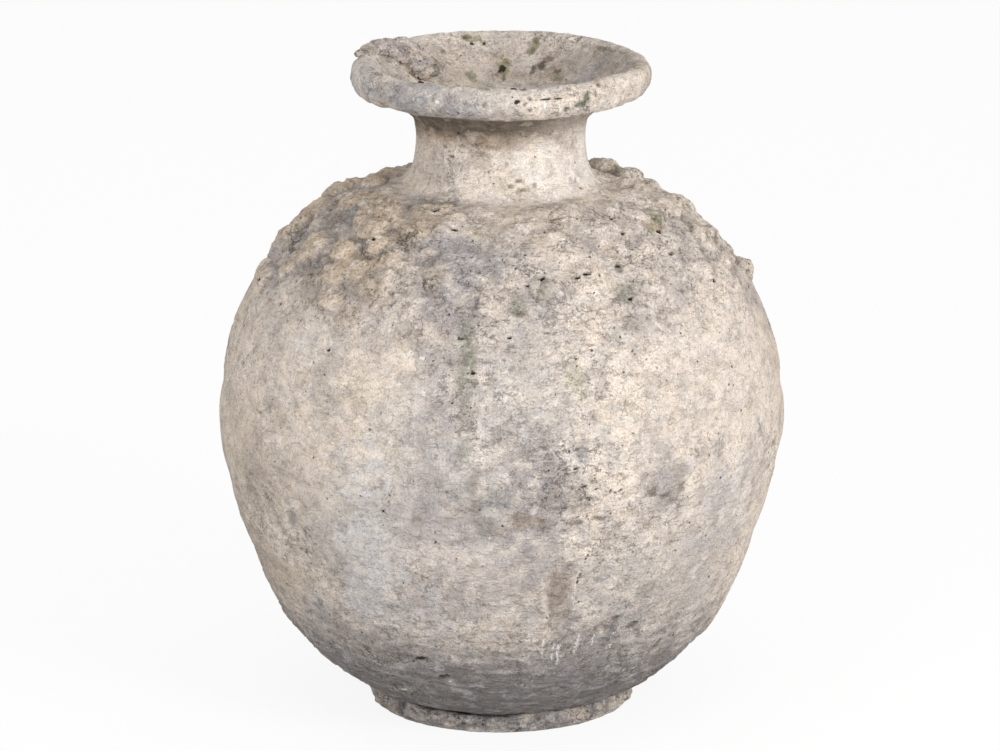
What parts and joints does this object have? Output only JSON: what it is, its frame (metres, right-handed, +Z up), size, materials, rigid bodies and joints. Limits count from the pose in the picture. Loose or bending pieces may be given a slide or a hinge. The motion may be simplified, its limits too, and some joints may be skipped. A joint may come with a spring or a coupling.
{
  "type": "decorative pot",
  "caption": "Wide-bodied earthenware jar on a foot ring, with a crusted shoulder, a short waisted neck and a dish-shaped mouth.",
  "frame": {"origin": "on the jar's axis, at the ground under the foot ring", "axes": "+Z up along the jar's axis; -Y is the side that the picture shows, +X is to its right"},
  "size_m": [0.48, 0.48, 0.5639],
  "materials": {
    "coarse_clay": "matte, coarse and weathered, cream with grey patches",
    "foot_clay": "matte, coarse and sandy, grey-brown",
    "crust_clay": "matte, lumpy, grey-beige with moss in its hollows"
  },
  "bodies": {
    "root": {"foot_ring": "foot_clay", "base_slab": "foot_clay", "lower_wall": "coarse_clay", "middle_wall": "coarse_clay", "shoulder_wall": "coarse_clay", "upper_shoulder": "coarse_clay", "belly_band": "coarse_clay", "neck_collar": "coarse_clay", "neck_coil": "coarse_clay", "mouth_rim": "coarse_clay", "shoulder_crust": "crust_clay", "rim_crust": "crust_clay"}
  },
  "joints": []
}
